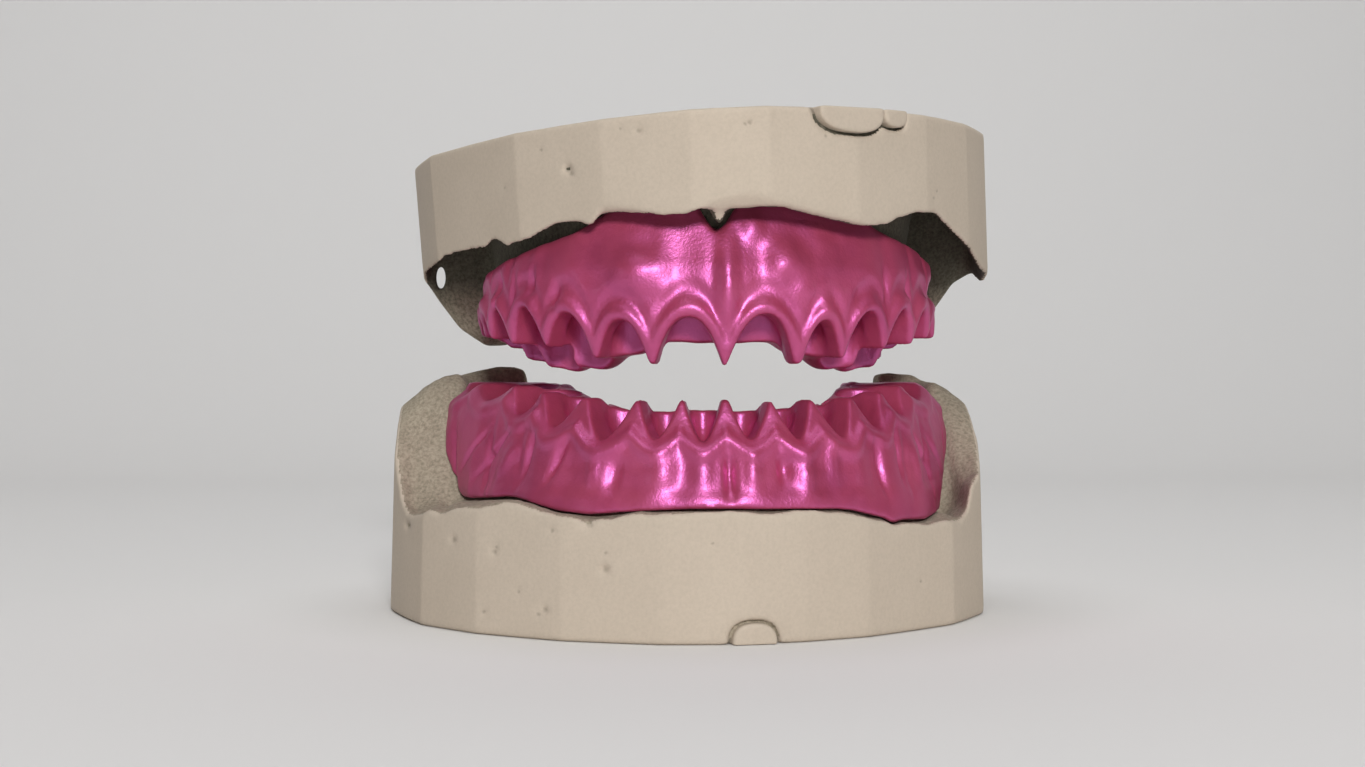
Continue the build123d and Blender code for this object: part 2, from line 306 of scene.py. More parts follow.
PAD_RIGHT = [(20, 30.5), (26.5, 31.4), (28.1, 32.8), (29.6, 33.2), (33.3, 32.8), (34.8, 31.7), (37.7, 29.5),
             (39.9, 27.6), (42, 26.3)]


def lower_wall(x, y):
    return polygon_distance(trim_outline(LOWER_TRIM, LOWER_FACETS), x - LOWER_SHIFT_X, y)


def lower_cast_height(x, y, out):
    """Height of the lower cast's top. out is the distance outward from the gum line."""
    crest_out = out + 3.0
    pad = np.where(x < 0, curve(-x, PAD_LEFT, 0.03), curve(x, PAD_RIGHT, 0.03))
    ramp = ease(y + 0.08 * np.abs(x), -4, 12)
    land = mix(curve(x, LOWER_LAND, 0.01), pad, ramp)
    crest = mix(20.3 + 1.8 * ease(y, -12, 10), pad, ease(y, 14.0, 20.0))
    outer = mix(crest, land, ease(crest_out, 0.5, 7.0))
    inner_width = mix(9.0, 4.0, ease(y, 10, 18))
    plateau = np.where(x < 0, 2.4, -1.5) * ease(y, 10, 18)
    inner = mix(crest, 12.8 + 0.6 * noise(x, y, 7, 5), ease(-crest_out - plateau, 0, inner_width))
    return np.where(crest_out > 0, outer, inner)


def lower_cast():
    grid = Grid((-43.6, -38.5, 0), (40, BACK_Y, 34.4), 0.34)
    x, y = grid.x2, grid.y2
    along, out = LOWER_GUM.coordinates(x, y)
    wall = lower_wall(x, y)
    height = lower_cast_height(x, y, out)
    rough = 0.18 * noise(x, y, 4.0, 11) + 0.10 * noise(x, y, 1.6, 12) + 0.07 * noise(x, y, 0.8, 15)
    height += rough * ease(out, 2, 5) + 0.35 * rough
    edge = ease(wall, -1.1, -0.1) * ease(-y, -18, -4)
    height -= edge * (0.15 + 0.35 * noise(along, out, 4.0, 13) + 0.3 * noise(along, out, 1.5, 14))
    top = (grid.z - height[:, :, None]) / slope(height, grid.voxel)[:, :, None]
    side = wall[:, :, None] + TRIM_DRAFT * grid.z
    field = both(side, top, 0.15)
    field = both(field, -grid.z, 0.5)
    field = wall_pits(field, side, grid, LOWER_PITS)
    field = cut(field, bead_seam(grid, *LOWER_BEAD), 0.1)
    return grid, field


def lower_cast_faces(x, y, z):
    """Trimmed walls are smooth; everything the mould shaped is rough."""
    return (lower_wall(x, y) + TRIM_DRAFT * z < -0.4) & (z > 1.0)


def lower_bottom(grid):
    """Distance below a plane 0.05 mm above the bench, where the lower bead ends."""
    return 0.05 - grid.z


def wall_pits(field, side, grid, pits):
    """Small air-bubble pits in a trimmed wall: each is (across, height, radius)."""
    for across, height, radius in pits:
        spread = np.hypot(grid.x - across, grid.z - height)
        bubble = np.sqrt(spread ** 2 + side ** 2) - 1.25 * radius
        field = np.where(grid.y < 5, cut(field, bubble, 0.1), field)
    return field


def bead_shape(x, y, z, across, forward, height, turn, half_width, half_height):
    """Flattened drop of stone on a wall: distance in units of its own size, and distance out of the wall."""
    dx, dy = x - across, y - forward
    sideways = (dx * cos(turn) + dy * sin(turn)) / half_width
    outward = dx * sin(turn) - dy * cos(turn)
    upward = (z - height) / half_height
    return (np.abs(sideways) ** 2.5 + np.abs(upward) ** 2.5) ** 0.4, outward


def bead(name, node, body, shape, materials, flat):
    across, forward, height, turn, half_width, half_height = shape
    size = half_width + 1.5
    low = (across - size, forward - size, height - half_height - 1)
    high = (across + size, forward + size, height + half_height + 1)
    grid = Grid(low, high, 0.1)
    round_part, outward = bead_shape(grid.x, grid.y, grid.z, *shape)
    thickness = np.abs(outward + BEAD_ROOT) - BEAD_ROOT - BEAD_PROUD
    field = both((round_part - 1) * min(half_width, half_height), thickness, 0.5)
    return meshed(name, both(field, flat(grid), 0.2), grid, body, node, materials)


def bead_seam(grid, *shape):
    """Narrow groove in the wall round a bead."""
    round_part, outward = bead_shape(grid.x, grid.y, grid.z, *shape)
    ring = np.abs(round_part - 1.05) * shape[5] - 0.28
    return both(ring, np.abs(outward) - 1.1, 0.1)


# heights by distance along the arch from the midline
LOWER_TIPS = [(0, 29.4), (16, 29.4), (24, 30.1), (31, 30.9), (38, 31.4), (60, 31.6)]
LOWER_GUMS = [(0, 24.4), (16, 24.5), (24, 26.2), (31, 27.8), (38, 29.4), (60, 30.0)]
# how far the teeth are off their even places
LOWER_DRIFT = [(-26, 0), (-10.6, 0.3), (-4.8, 0.5), (0.5, 0.5), (6.3, 1.0), (12.2, 1.3), (26, 0)]
LOWER_TONGUE_RIM = [(0, 28.2), (16, 28.2), (24, 29.4), (31, 30.7), (38, 31.4), (60, 31.6)]


def lower_denture_base():
    grid = Grid((-36.8, -37.6, 13), (36.8, BASE_BACK_Y, 33), 0.3)
    x, y, z = grid.x2, grid.y2, grid.z
    along, out = LOWER_GUM.coordinates(x, y)
    seat = lower_cast_height(x, y, out) + SEAT_GAP
    s = along[:, :, None].astype(np.float32)
    d = out[:, :, None].astype(np.float32)
    teeth = s - curve(s, LOWER_DRIFT, 0.01).astype(np.float32)
    back = ease(grid.y, -18, 4)
    tips = curve(np.abs(s), LOWER_TIPS)
    gums = curve(np.abs(s), LOWER_GUMS)
    face = curve(z, [(13, 5.5), (15.4, 5.2), (17.6, 4.9), (18.6, 4.45), (20.4, 4.1), (21.2, 3.85),
                     (23, 3.5), (25, 2.7), (27, 1.8), (29, 1.0), (33, 0.0)], 0.04)
    side_face = curve(z, [(13, 1.4), (15, 2.6), (17, 4.0), (19.5, 5.1), (22, 5.3), (25, 4.9), (27, 4.3),
                          (29, 3.2), (31, 1.6), (33, 0.2)])
    side_face = side_face + 1.3 * ease(-grid.x, 10, 25)
    face = mix(face, side_face, back)
    face = face + root_bumps(teeth, z, LOWER_TEETH, 16.5, 25.5, 0.4)
    face = face + gum_step(teeth, z, LOWER_TEETH, gums)
    face = face + folds(s, z, LOWER_FOLDS)
    face = face + skin(along, out, s, z)
    labial = d - face
    tongue = mix(-6.6, -9.9, ease(grid.y, -24, -4)) + 0.05 * (z - 24)
    lingual = tongue - d + 0.5 * bump(z, 20, 6)
    body = both(labial, lingual, 0.9)
    body = both(body, (seat[:, :, None] - z) / slope(seat, grid.voxel)[:, :, None], 0.3)
    tongue_rim = curve(np.abs(s), LOWER_TONGUE_RIM) + 0.35 * noise(along, out * 0, 3.5, 61)[:, :, None]
    body = both(body, z - mix(tongue_rim, tips + 0.2, ease(d, -4.8, -2.6)), 0.6)
    body = both(body, grid.y - BASE_BACK_Y + 0.6 * ease(np.abs(d + 1), 2, 7), 1.2)
    body = sockets(body, teeth, d, z, LOWER_TEETH, tips + 0.2, LOWER_GUMS, 1, LOWER_SCALLOP, 5.6)
    return grid, body


def gum_step(s, z, widths, gums):
    """Gum edge below the sockets: a rolled line that rises under each papilla, set back above it."""
    total = np.zeros(np.broadcast(s, z).shape, np.float32)
    for middle, half, number in tooth_places(widths):
        part = np.clip(np.abs(s - middle) / half, 0, 1)
        above = z - (gums - 1.0 + 2.2 * part ** 1.6)
        step = 0.5 * bump(above, -0.4, 1.5) - 0.55 * ease(above, 0.0, 1.5)
        total += np.where(np.abs(s - middle) <= half, step, 0)
    return total


def tooth_places(widths):
    """(middle, half width, number) of every tooth along the arch, left to right."""
    places = []
    start = 0.0
    for number, width in enumerate(widths):
        places.append((start + width / 2, width / 2, number))
        places.append((-start - width / 2, width / 2, number))
        start += width
    return sorted(places)


def root_bumps(s, z, widths, low, high, amount):
    """Soft swelling over each root, with a narrow groove between neighbours towards the back."""
    swell = np.full(np.broadcast(s, z).shape, -1.6, np.float32)
    for middle, half, number in tooth_places(widths):
        swell += bump(s, middle, half * 1.1)
        groove = np.sign(middle) * (abs(middle) + half)
        lean = 0.12 * np.sign(middle)
        swell -= 1.5 * ease(np.float64(number), 2, 4) * bump(s - lean * (z - low), groove, 0.9)
    return amount * swell * bump(z, (low + high) / 2, (high - low) * 0.8)


def skin(along, out, s, z):
    """Small unevenness of a hand-waxed surface: soft lumps at the front, upright wrinkles at the sides."""
    lumps = 0.0
    for layer, height in enumerate((14, 20, 26, 38, 44, 50)):
        pattern = noise(along, out * 0 + 10 * layer, 3.0, 40 + layer)[:, :, None]
        lumps = lumps + 0.16 * pattern * bump(z, height, 4.5)
    wrinkles = noise(along, out * 0, 1.5, 50)[:, :, None] * ease(np.abs(s), 18, 30)
    return lumps + 0.16 * wrinkles


def folds(s, z, places):
    """Listed ridges and grooves: (along, height, half width, half height, lean, amount)."""
    total = 0.0
    for along, height, half_width, half_height, lean, amount in places:
        sideways = bump(s - lean * (z - height), along, half_width)
        total = total + amount * sideways * bump(z, height, half_height)
    return total


LOWER_FOLDS = [
    (0.8, 20.2, 0.9, 4.0, 0.0, -1.0), (3.3, 21.0, 1.3, 3.8, 0.0, 0.5), (-2.2, 21.0, 1.6, 3.6, 0.0, 0.35),
    (6.9, 20.8, 1.1, 2.6, 0.0, -0.9), (9.3, 20.6, 1.5, 4.2, 0.0, 0.6), (12.9, 22.0, 1.5, 5.0, 0.0, 0.55),
    (-6.3, 21.0, 2.3, 3.8, 0.0, 0.65), (-12.0, 20.2, 1.3, 3.4, 0.1, -0.7), (-14.6, 21.0, 1.2, 3.4, 0.0, 0.4),
    (20.6, 21.0, 0.8, 5.0, 0.0, -0.9), (17.0, 21.5, 2.4, 4.5, 0.0, 0.3), (25.5, 22.5, 0.8, 5.0, 0.1, -0.9),
    (29.5, 21.0, 1.6, 4.0, 0.0, 0.5), (33.0, 22.0, 0.8, 4.5, -0.6, -0.8), (38.0, 22.0, 0.9, 4.5, -0.8, -0.6),
    (-33.5, 22.3, 0.9, 4.6, 1.0, -1.0), (-25.4, 22.0, 0.8, 4.6, 0.18, -1.0),
    (-19.9, 22.0, 0.8, 4.2, 0.35, -0.9),
    (-29.5, 21.5, 1.8, 4.0, 0.6, 0.45), (-38.5, 23.0, 0.9, 4.4, 1.0, -0.7),
]


def sockets(field, s, d, z, widths, tips, gums, up, power, pit_depth):
    """Cuts the tooth sockets: rounded pits, and the scallop of the gum line in front of each."""
    uneven = np.random.default_rng(77)
    for middle, half, number in tooth_places(widths):
        near = np.abs(s - middle) < half + 1.5
        zenith = curve(np.float64(abs(middle)), gums) + uneven.uniform(-0.25, 0.25)
        slant = uneven.uniform(-0.08, 0.08) * half * (z - zenith) / np.maximum(np.abs(tips - zenith), 1.0)
        depth = mix(2.2, 3.4, ease(np.float64(number), 1, 5))
        centre = -1.2 - depth
        offset = np.abs(s - middle - slant)
        inward = np.abs(d - centre) / depth
        down = np.maximum((tips - z) * up, 0) / pit_depth
        pit = ((offset / (half - 0.45)) ** power + inward ** 2.4 + down ** 2) ** 0.5 - 1
        pit = pit * min(half, depth) * 0.8
        reach = half - 0.32
        part = np.clip(offset / reach, 0, 1)
        line = zenith + (tips - zenith) * part ** power
        steep = power * np.abs(tips - zenith) / reach * np.maximum(part, 0.05) ** (power - 1)
        scallop = -(z - line) * up / np.sqrt(1 + steep ** 2)
        scallop = both(scallop, centre - d, 0.3)
        scallop = both(scallop, offset - reach, 0.0)
        field = np.where(near, cut(field, either(pit, scallop, 0.3), 0.2), field)
    return field


# ---------------------------------------------------------------- upper cast
LIP = [(-42, 46.0), (-38.9, 46.8), (-36.2, 48.0), (-35.4, 48.7), (-31.0, 49.3), (-29.6, 49.2),
       (-28.8, 50.0), (-28.3, 50.1), (-27.6, 50.0), (-27.3, 49.5), (-26.8, 49.0), (-24.9, 49.5),
       (-23.0, 50.1), (-21.7, 50.8), (-20.8, 51.3), (-19.2, 51.6), (-17.6, 51.6), (-15.8, 50.9),
       (-15.2, 51.9), (-14.6, 52.5), (-13.3, 52.7), (-11.4, 52.5), (-7.2, 51.9), (-4.3, 51.9), (-3.0, 52.5),
       (1.8, 52.8), (7.4, 53.0), (8.0, 52.8), (16.6, 51.3), (19.4, 51.2), (21.3, 51.6), (23.8, 52.8),
       (26.2, 53.5), (28.7, 53.8), (30.5, 52.7), (35.3, 49.9), (38.3, 47.6), (42, 46.4)]
CHIP_TOP = [(-42, 40), (-15.3, 51), (-14.7, 53.5), (-12.9, 53.3), (-10.1, 52.7), (-7.5, 51.8), (-4, 51.5),
            (-3, 52.6), (-1.5, 53.6), (1.2, 54.2), (3.3, 54.4), (5.4, 54.0), (7.4, 53.5), (9.2, 53.2),
            (11.8, 52.7), (15.3, 52.0), (17.9, 51.6), (20, 50), (42, 40)]
CHIP_SLOPE = 0.75
CHIP_REACH = 2.0                    # how far in from the wall a chip goes
TUBEROSITY_LEFT = [(26, 37.6), (31, 37.2), (34.7, 39.6), (38, 44.0), (40.5, 47.6), (42, 48.5)]
TUBEROSITY_RIGHT = [(26, 38.0), (31, 38.2), (33.5, 40.0), (35.6, 42.1), (38.9, 46.6), (41.5, 48.2)]
SULCUS_Z = 57.2
LIP_Z = 52.0                        # height at which the outline above the lip is worked out
HOLE = (-37.2, 12.0, 46.9)          # a bubble has broken through the thin stone behind the left wall
HOLE_LEAN = (-0.066, 0.055)
HOLE_HALF = (0.68, 1.75)


def upper_shift(z):
    """Sideways place of the rolled upper outline at a height."""
    return UPPER_SHIFT_X + (UPPER_TOP_Z - z) * ROLL_SLOPE


def upper_wall(x, y, z):
    """Distance outward from the plan of the upper cast's trimmed wall at a height."""
    return polygon_distance(trim_outline(UPPER_TRIM, UPPER_FACETS), x - upper_shift(z), y)


def upper_cast_height(x, y, along, out, wall):
    """Height of the upper cast's underside."""
    crest_out = out + 4.0
    lip = curve(x, LIP, 0.008) + 0.10 * noise(x, y, 1.3, 21) + 0.08 * noise(x, y, 0.7, 25)
    tuberosity = np.where(x < 0, curve(-x, TUBEROSITY_LEFT), curve(x, TUBEROSITY_RIGHT))
    thick = 1.8 * np.clip(curve(x, CHIP_TOP, 0.008) - lip, 0, 1)
    sulcus = mix(lip, SULCUS_Z + 0.5 * noise(x, y, 5, 22), ease(-wall - thick, 0.9, 2.4))
    outside = mix(sulcus, tuberosity, ease(y, 9, 17))
    crest = mix(45.2, tuberosity, ease(y, 10, 21))
    frenum = 2.6 * bump(along, -0.5, 1.3) * ease(crest_out, 1.0, 3.0) * (1 - ease(crest_out, 5.0, 7.5))
    outer = mix(crest, outside, ease(crest_out, -0.4, 2.7)) - frenum
    vault = 50.4 - 0.35 * bump(x, 0, 1.6) * ease(y, -20, -12)
    inner = mix(crest, vault, ease(-crest_out, 0.4, 12))
    return np.where(crest_out > -0.4, outer, inner)


def upper_cast():
    grid = Grid((-41.6, -39.5, 36.8), (42.6, BACK_Y, 67.2), 0.34)
    x, y = grid.x2, grid.y2
    along, out = UPPER_GUM.coordinates(x, y)
    wall = upper_wall(x, y, LIP_Z)
    height = upper_cast_height(x, y, along, out, wall)
    height += (0.14 * noise(x, y, 3.5, 23) + 0.07 * noise(x, y, 1.4, 24)) * ease(-wall, 1.0, 3.0)
    lean = np.gradient(wall, grid.voxel, axis=0)[:, :, None] * (grid.z - LIP_Z) * ROLL_SLOPE
    side = wall[:, :, None] + lean + TRIM_DRAFT * (65 - grid.z)
    under = (height[:, :, None] - grid.z) / slope(height, grid.voxel)[:, :, None]
    field = both(side, under, 0.12)
    chip = side + CHIP_SLOPE * (curve(x, CHIP_TOP, 0.008)[:, :, None] - grid.z)
    chip = either(chip, side + CHIP_REACH)
    field = np.where(grid.y < 0, both(field, chip, 0.05), field)
    field = both(field, upper_top(grid), 0.5)
    dx = grid.x - HOLE[0] - HOLE_LEAN[0] * (grid.y - HOLE[1])
    dz = grid.z - HOLE[2] - HOLE_LEAN[1] * (grid.y - HOLE[1])
    hole = (np.sqrt((dx / HOLE_HALF[0]) ** 2 + (dz / HOLE_HALF[1]) ** 2) - 1) * HOLE_HALF[0]
    field = cut(field, hole, 0.2)
    field = wall_pits(field, side, grid, UPPER_PITS)
    for shape in UPPER_BEADS.values():
        field = cut(field, bead_seam(grid, *shape), 0.1)
    return grid, field


def upper_cast_faces(x, y, z):
    """Walls and top are smooth, palate and ridge are rough, the sulcus outside the ridge gets the material
    with painted shade.
    """
    depth = upper_wall(x, y, z) + TRIM_DRAFT * (65 - z)
    bevel = depth + CHIP_SLOPE * (curve(x, CHIP_TOP, 0.008) - z)
    chipped = (y < 0) & (bevel > -0.45) & (depth > -CHIP_REACH)
    inside = (depth < -0.4) & ~chipped
    below_top = x * TOP_NORMAL[0] + (z - UPPER_TOP_Z) * TOP_NORMAL[2] < -1.0
    ahead = np.maximum(12.0 - y, 0.0)
    outer = (np.abs(x) / 27.0) ** 2.2 + (ahead / 39.0) ** 2.2 > 1.0
    return np.where(inside & below_top, np.where(outer, 2, 1), 0)


def upper_top(grid):
    """Distance above the rolled top plane."""
    return grid.x * TOP_NORMAL[0] + (grid.z - UPPER_TOP_Z) * TOP_NORMAL[2] + 0 * grid.y


UPPER_TIPS = [(0, 34.3), (8.7, 34.8), (16, 35.5), (24, 36.8), (31, 37.5), (40, 38.4), (60, 39.2)]
UPPER_GUMS = [(0, 39.9), (4.4, 39.9), (12.5, 39.2), (20, 40.5), (30, 41.4), (38, 41.4), (60, 40.6)]
PALATAL_TIPS = [(0, 36.3), (5, 37.0), (9, 36.3), (14, 35.2), (19, 33.6), (26, 33.2), (32, 33.4), (40, 34.5),
                (48, 36.0), (60, 37.0)]
UPPER_DRIFT = [(-8, 0), (0.5, 0.5), (9.9, 1.2), (16.1, 0)]
UPPER_BORDER = [(-60, 44.5), (-52, 46.0), (-46, 46.8), (-40, 47.3), (-34, 47.8), (-28.7, 48.9), (-21, 50.4),
                (-18, 52.0), (-14, 54.5), (14, 54.8), (20, 53.4), (24, 52.0), (28, 50.8), (36, 49.8),
                (44, 48.4), (50, 46.0), (60, 43.5)]
PALATE_RISE = [(-4, 0), (8, 0), (10, 1.2), (13, 5), (17, 9.5), (22, 12.5), (40, 15)]


def upper_denture_base():
    grid = Grid((-35, -36, 32.4), (35, BASE_BACK_Y, 56), 0.32)
    x, y, z = grid.x2, grid.y2, grid.z
    along, out = UPPER_GUM.coordinates(x, y)
    seat = upper_cast_height(x, y, along, out, upper_wall(x, y, LIP_Z)) - SEAT_GAP
    s = along[:, :, None].astype(np.float32)
    d = out[:, :, None].astype(np.float32)
    teeth = s - curve(s, UPPER_DRIFT, 0.01).astype(np.float32)
    back = ease(grid.y, -18, 4)
    tips = curve(np.abs(s), UPPER_TIPS)
    gums = curve(np.abs(s), UPPER_GUMS)
    face = curve(z, [(33, 0.0), (35, 0.4), (37.5, 0.8), (40, 1.2), (43, 1.4), (46, 1.1), (49, 0.0),
                     (52, -1.2), (56, -2.2)])
    left_face = curve(z, [(33, -1.7), (35, -1.5), (38, -1.3), (42, -0.9), (45, -0.8), (48, -2.0), (55, -3.2)])
    right_face = curve(z, [(33, -0.2), (35, 0.4), (38, 0.9), (41, 0.7), (43.5, -0.1), (46, 0.6),
                           (48.5, 1.0), (51, 0.2), (55, -0.8)])
    face = mix(face, np.where(grid.x < 0, left_face, right_face), back)
    face = face + root_bumps(teeth, z, UPPER_TEETH, 41, 51, 0.35)
    face = face + gum_roll(teeth, z, UPPER_TEETH, tips, gums, -1, UPPER_SCALLOP)
    face = face + folds(s, z, UPPER_FOLDS)
    face = face + skin(along, out, s, z)
    labial = d - face
    lumps = sum(0.5 * bump(s, middle, half) for middle, half, number in tooth_places(UPPER_TEETH))
    palatal = curve(np.abs(s), PALATAL_TIPS) + 0.3 - lumps
    under = mix(tips - 0.95, palatal, ease(-d, 2.6, 5.2)) + curve(-d, PALATE_RISE)
    under = -both(-under, np.full_like(under, -48.2), 1.5)
    steep = np.sqrt(1 + (np.gradient(under[:, :, 0], grid.voxel, axis=0)) ** 2)[:, :, None]
    steep = np.minimum(steep, 2.5)
    border = curve(s, UPPER_BORDER, 0.015)
    border = border - 4.2 * bump(s, -0.5, 3.4) + 0.35 * noise(along, out * 0, 4, 31)[:, :, None]
    body = both(labial, (under - z) / steep, 0.6)
    body = both(body, z - border, 1.2)
    body = both(body, (z - seat[:, :, None]) / slope(seat, grid.voxel)[:, :, None], 0.3)
    body = both(body, grid.y - BASE_BACK_Y + 0.4 * ease(np.abs(d + 2), 2, 7), 1.2)
    body = sockets(body, teeth, d, z, UPPER_TEETH, tips - 0.95, UPPER_GUMS, -1, UPPER_SCALLOP, 7.0)
    return grid, body


def gum_roll(s, z, widths, tips, gums, up, power):
    """Rolled edge along the gum scallops, with a shallow hollow behind it."""
    total = np.zeros(np.broadcast(s, z).shape, np.float32)
    for middle, half, number in tooth_places(widths):
        part = np.clip(np.abs(s - middle) / half, 0, 1)
        behind = (gums + (tips - gums) * part ** power - z) * up
        roll = 0.5 * bump(behind, 0.9, 1.4) - 0.45 * bump(behind, 3.2, 1.8)
        total += np.where(np.abs(s - middle) <= half, roll * (1 - 0.7 * part ** 3), 0)
    return total


UPPER_FOLDS = [
    (0.6, 44.4, 1.9, 8.0, 0.0, 1.15), (8.4, 46.8, 3.6, 3.4, 0.0, 0.95), (-10.0, 45.4, 4.6, 3.8, 0.0, 1.0),
    (10.1, 43.7, 2.0, 2.6, 0.0, 0.4), (-4.6, 47.0, 3.4, 6.0, 0.0, -0.5), (4.6, 46.2, 2.4, 4.6, 0.0, -0.45),
    (12.9, 41.9, 1.6, 2.8, 0.0, 0.5), (3.9, 51.0, 2.0, 2.6, 0.0, 0.5), (18.8, 42.6, 2.2, 1.8, 0.0, -0.4),
    (24.0, 43.6, 0.8, 4.0, 0.0, -0.8), (30.0, 43.4, 0.7, 4.0, 0.0, -0.8), (-21.9, 42.4, 1.0, 3.0, 0.0, -0.5),
    (-26.6, 44.4, 0.9, 3.4, 0.1, -0.7), (-30.6, 43.6, 0.8, 3.6, 0.1, -0.7),
    (-34.8, 43.2, 0.8, 3.6, 0.1, -0.7),
]


# ---------------------------------------------------------------- materials
def shader(name):
    """New material: its node tree and its main shader."""
    material = bpy.data.materials.new(name)
    material.use_nodes = True
    tree = material.node_tree
    return material, tree.nodes, tree.links, tree.nodes["Principled BSDF"]


def noise_node(nodes, links, place, scale, detail, roughness=0.55):
    node = nodes.new("ShaderNodeTexNoise")
    node.inputs["Scale"].default_value = scale
    node.inputs["Detail"].default_value = detail
    node.inputs["Roughness"].default_value = roughness
    links.new(place.outputs["Object"], node.inputs["Vector"])
    return node


def ramp_node(nodes, links, source, stops):
    node = nodes.new("ShaderNodeValToRGB")
    links.new(source, node.inputs["Fac"])
    node.color_ramp.elements[0].position = stops[0][0]
    node.color_ramp.elements[0].color = (*stops[0][1], 1)
    node.color_ramp.elements[1].position = stops[-1][0]
    node.color_ramp.elements[1].color = (*stops[-1][1], 1)
    for position, color in stops[1:-1]:
        node.color_ramp.elements.new(position).color = (*color, 1)
    return node


def bump_node(nodes, links, height, strength, distance, under=None):
    node = nodes.new("ShaderNodeBump")
    node.inputs["Strength"].default_value = strength
    node.inputs["Distance"].default_value = distance
    links.new(height, node.inputs["Height"])
    if under is not None:
        links.new(under.outputs["Normal"], node.inputs["Normal"])
    return node


def stone_material(name, tones, grain_tone, wide_bump, fine_bump, painted_recess_shade=None, pits=(), beads=()):
    """Dental stone: warm grey-buff, matt, fine-grained. The recess setting paints shade onto it, darker from
    one height up to another; pits and beads get painted shade in the pits and the seams round the beads.
    """
    material, nodes, links, main = shader(name)
    place = nodes.new("ShaderNodeTexCoord")
    cloud = noise_node(nodes, links, place, 90, 6, 0.6)
    grain = noise_node(nodes, links, place, 2200, 3, 0.65)
    color = ramp_node(nodes, links, cloud.outputs["Fac"], list(zip((0.25, 0.5, 0.78), tones)))
    speck = nodes.new("ShaderNodeMixRGB")
    speck.blend_type = "MULTIPLY"
    speck.inputs["Fac"].default_value = 1.0
    tone = ramp_node(nodes, links, grain.outputs["Fac"], [(0.32, grain_tone), (0.62, (1, 1, 1))])
    links.new(color.outputs["Color"], speck.inputs["Color1"])
    links.new(tone.outputs["Color"], speck.inputs["Color2"])
    # painted shade: from one height up to another the stone is multiplied towards a dark tone
    result = speck
    if painted_recess_shade is not None:
        low, high, dark = painted_recess_shade
        split = nodes.new("ShaderNodeSeparateXYZ")
        links.new(place.outputs["Object"], split.inputs["Vector"])
        span = nodes.new("ShaderNodeMapRange")
        span.inputs["From Min"].default_value = low * MM
        span.inputs["From Max"].default_value = high * MM
        links.new(split.outputs["Z"], span.inputs["Value"])
        result = nodes.new("ShaderNodeMixRGB")
        result.blend_type = "MULTIPLY"
        links.new(span.outputs["Result"], result.inputs["Fac"])
        links.new(speck.outputs["Color"], result.inputs["Color1"])
        result.inputs["Color2"].default_value = (*dark, 1)
    # painted shade in the wall pits and in the seams round the beads
    if pits:
        plain = result
        pit_and_seam_shade = wall_pit_and_seam_shade(nodes, links, place, pits, beads)
        result = nodes.new("ShaderNodeMixRGB")
        result.blend_type = "MULTIPLY"
        links.new(pit_and_seam_shade, result.inputs["Fac"])
        links.new(plain.outputs["Color"], result.inputs["Color1"])
        result.inputs["Color2"].default_value = (*PIT_AND_SEAM_SHADE_TONE, 1)
    links.new(result.outputs["Color"], main.inputs["Base Color"])
    main.inputs["Roughness"].default_value = 0.9
    main.inputs["Specular IOR Level"].default_value = 0.2
    main.inputs["Sheen Weight"].default_value = 0.05
    main.inputs["Sheen Roughness"].default_value = 0.25
    wide = bump_node(nodes, links, cloud.outputs["Fac"], wide_bump, 0.0004)
    fine = bump_node(nodes, links, grain.outputs["Fac"], fine_bump, 0.0001, wide)
    links.new(fine.outputs["Normal"], main.inputs["Normal"])
    return material


TRIMMED_TONES = ((0.545, 0.462, 0.372), (0.565, 0.480, 0.388), (0.585, 0.498, 0.404))
MOULDED_TONES = ((0.36, 0.31, 0.235), (0.42, 0.36, 0.275), (0.47, 0.405, 0.31))
# painted shade: the wall pits and the seams round the beads are darkened towards this grey
PIT_AND_SEAM_SHADE_TONE = (0.40, 0.40, 0.39)
SHADE_EDGE_WANDER = 0.5                   # how far the edges of the painted pit and seam shade wander, all to one side
PIT_SHADE_STRENGTH = 0.42
SEAM_SHADE_WIDTH = 0.30
SEAM_SHADE_DEPTH = (1.0, 1.6)             # how far back from the wall the painted seam shade reaches, and where it has ended
